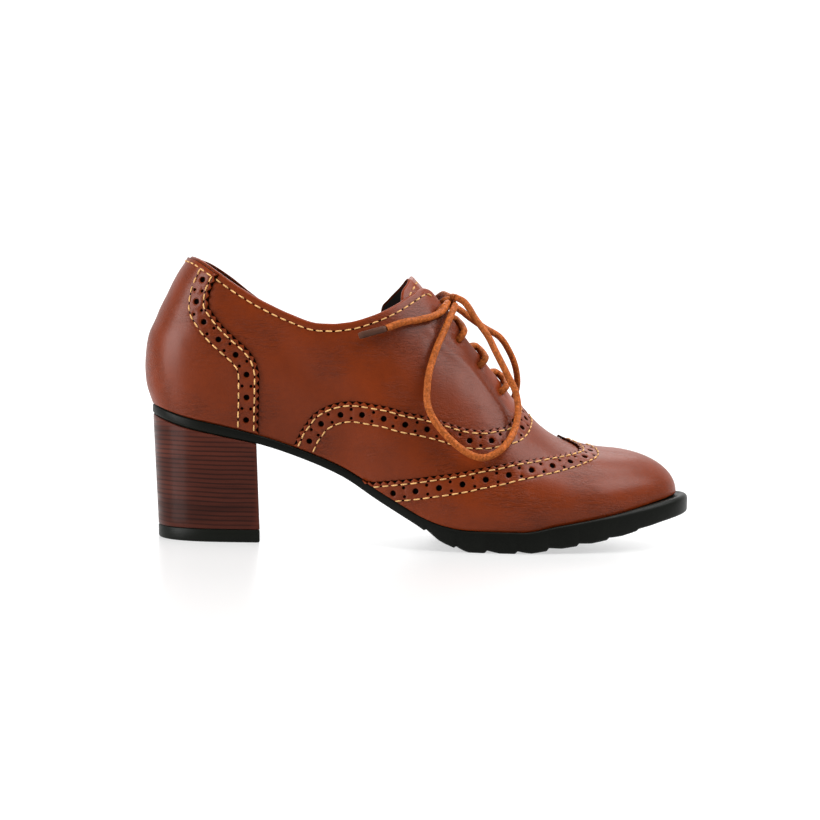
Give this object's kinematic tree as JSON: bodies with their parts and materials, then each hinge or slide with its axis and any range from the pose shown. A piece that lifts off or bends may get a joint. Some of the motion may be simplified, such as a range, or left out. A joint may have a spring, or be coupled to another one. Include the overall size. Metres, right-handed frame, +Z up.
{
  "type": "heeled oxford shoe",
  "caption": "Right women's lace-up oxford with wing tip brogue trim, hollow leather upper, lugged rubber sole, block heel and a tied round lace.",
  "frame": {"origin": "on the floor, at the middle of the heel's flat bottom", "axes": "+X towards the toe, +Y towards the inner (medial) side of the foot, +Z up"},
  "size_m": [0.2425, 0.0893, 0.1238],
  "materials": {
    "leather": "smooth tan calf, semi-gloss, fine grain",
    "lining": "dark brown lining, matte",
    "sole_rubber": "satin black moulded rubber",
    "stacked_heel": "dark red-brown stacked look with fine layers",
    "lace": "round waxed cord, satin",
    "lace_tip": "dark brown sealed tip"
  },
  "bodies": {
    "root": {"upper": "leather", "counter_overlay": "leather", "vamp_overlay": "leather", "wing_cap": "leather", "tongue": "leather", "lace_cross_1": "lace", "lace_cross_2": "lace", "lace_cross_3": "lace", "lace_knot": "lace", "lace_loop_near": "lace", "lace_loop_far": "lace", "lace_end_near": "lace", "lace_end_far": "lace", "aglet_near": "lace_tip", "aglet_far": "lace_tip", "insole": "lining", "outsole": "sole_rubber", "heel_lift": "sole_rubber", "heel_block": "stacked_heel"}
  },
  "joints": []
}
